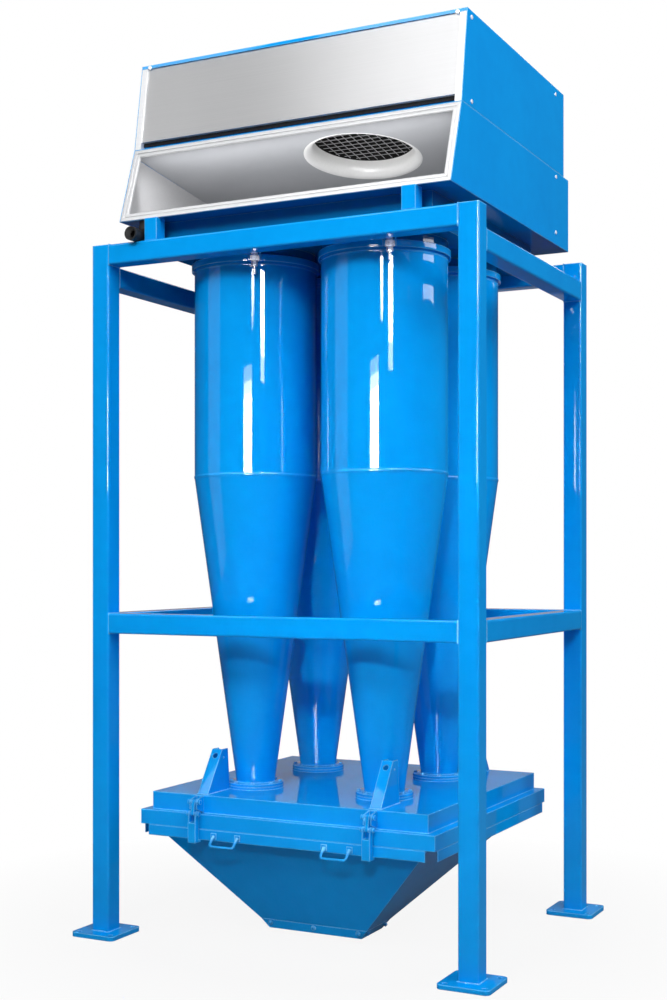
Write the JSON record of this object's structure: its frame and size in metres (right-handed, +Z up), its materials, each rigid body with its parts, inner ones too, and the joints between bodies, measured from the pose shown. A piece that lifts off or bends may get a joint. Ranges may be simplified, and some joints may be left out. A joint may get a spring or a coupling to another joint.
{
  "type": "cyclone separator",
  "caption": "Free-standing dust separator: cyclones between a head housing and a latched dust hopper, on a square-tube stand.",
  "frame": {"origin": "middle of the stand at floor level, the centre of the outermost foot plate holes", "axes": "+X to the right and +Y to the back as the inlet side is faced, +Z up"},
  "size_m": [1.77, 1.43, 3.505],
  "materials": {
    "blue_paint": "gloss",
    "stainless": "brushed",
    "aluminium": "satin",
    "grey_sheet": "satin",
    "white_paint": "satin",
    "black_plastic": "matte"
  },
  "bodies": {
    "separator": {"clamp_ring_front_left": "blue_paint", "clamp_ring_front_right": "blue_paint", "clamp_ring_rear_left": "blue_paint", "clamp_ring_rear_right": "blue_paint", "cyclone_front_left": "blue_paint", "cyclone_front_right": "blue_paint", "cyclone_rear_left": "blue_paint", "cyclone_rear_right": "blue_paint", "distribution_chamber": "blue_paint", "drain_elbow": "black_plastic", "dust_hopper": "blue_paint", "foot_plate_front_left": "blue_paint", "foot_plate_front_right": "blue_paint", "foot_plate_rear_left": "blue_paint", "foot_plate_rear_right": "blue_paint", "front_panel": "stainless", "head_floor": "blue_paint", "head_supports": "blue_paint", "hopper_cover": "blue_paint", "hopper_handles": "blue_paint", "inlet_bell": "white_paint", "inlet_liner": "grey_sheet", "inlet_trim": "aluminium", "latch_brackets": "blue_paint", "lifting_lugs": "blue_paint", "lower_casing_deck": "blue_paint", "lower_casing_left": "blue_paint", "lower_casing_right": "blue_paint", "mid_rail_front": "blue_paint", "mid_rail_left": "blue_paint", "mid_rail_rear": "blue_paint", "mid_rail_right": "blue_paint", "outlet_cap": "blue_paint", "panel_side_strips": "aluminium", "post_front_left": "blue_paint", "post_front_right": "blue_paint", "post_rear_left": "blue_paint", "post_rear_right": "blue_paint", "top_rail_front": "blue_paint", "top_rail_left": "blue_paint", "top_rail_rear": "blue_paint", "top_rail_right": "blue_paint", "upper_casing": "blue_paint"},
    "link_front_left": {"latch_link_front_left": "blue_paint"},
    "lever_front_left": {"latch_lever_front_left": "blue_paint"},
    "link_front_right": {"latch_link_front_right": "blue_paint"},
    "lever_front_right": {"latch_lever_front_right": "blue_paint"},
    "link_rear_left": {"latch_link_rear_left": "blue_paint"},
    "lever_rear_left": {"latch_lever_rear_left": "blue_paint"},
    "link_rear_right": {"latch_link_rear_right": "blue_paint"},
    "lever_rear_right": {"latch_lever_rear_right": "blue_paint"}
  },
  "joints": [
    {"name": "link_hinge_front_left", "type": "hinge", "parent": "separator", "child": "link_front_left", "pos_m": [-0.374, -0.583, 0.556], "axis": [-1, 0, 0], "range_deg": [0, 60]},
    {"name": "lever_hinge_front_left", "type": "hinge", "parent": "link_front_left", "child": "lever_front_left", "pos_m": [-0.374, -0.592, 0.512], "axis": [-1, 0, 0], "range_deg": [0, 90]},
    {"name": "link_hinge_front_right", "type": "hinge", "parent": "separator", "child": "link_front_right", "pos_m": [0.374, -0.583, 0.556], "axis": [-1, 0, 0], "range_deg": [0, 60]},
    {"name": "lever_hinge_front_right", "type": "hinge", "parent": "link_front_right", "child": "lever_front_right", "pos_m": [0.374, -0.592, 0.512], "axis": [-1, 0, 0], "range_deg": [0, 90]},
    {"name": "link_hinge_rear_left", "type": "hinge", "parent": "separator", "child": "link_rear_left", "pos_m": [-0.374, 0.655, 0.556], "axis": [1, 0, 0], "range_deg": [0, 60]},
    {"name": "lever_hinge_rear_left", "type": "hinge", "parent": "link_rear_left", "child": "lever_rear_left", "pos_m": [-0.374, 0.664, 0.512], "axis": [1, 0, 0], "range_deg": [0, 90]},
    {"name": "link_hinge_rear_right", "type": "hinge", "parent": "separator", "child": "link_rear_right", "pos_m": [0.374, 0.655, 0.556], "axis": [1, 0, 0], "range_deg": [0, 60]},
    {"name": "lever_hinge_rear_right", "type": "hinge", "parent": "link_rear_right", "child": "lever_rear_right", "pos_m": [0.374, 0.664, 0.512], "axis": [1, 0, 0], "range_deg": [0, 90]}
  ]
}
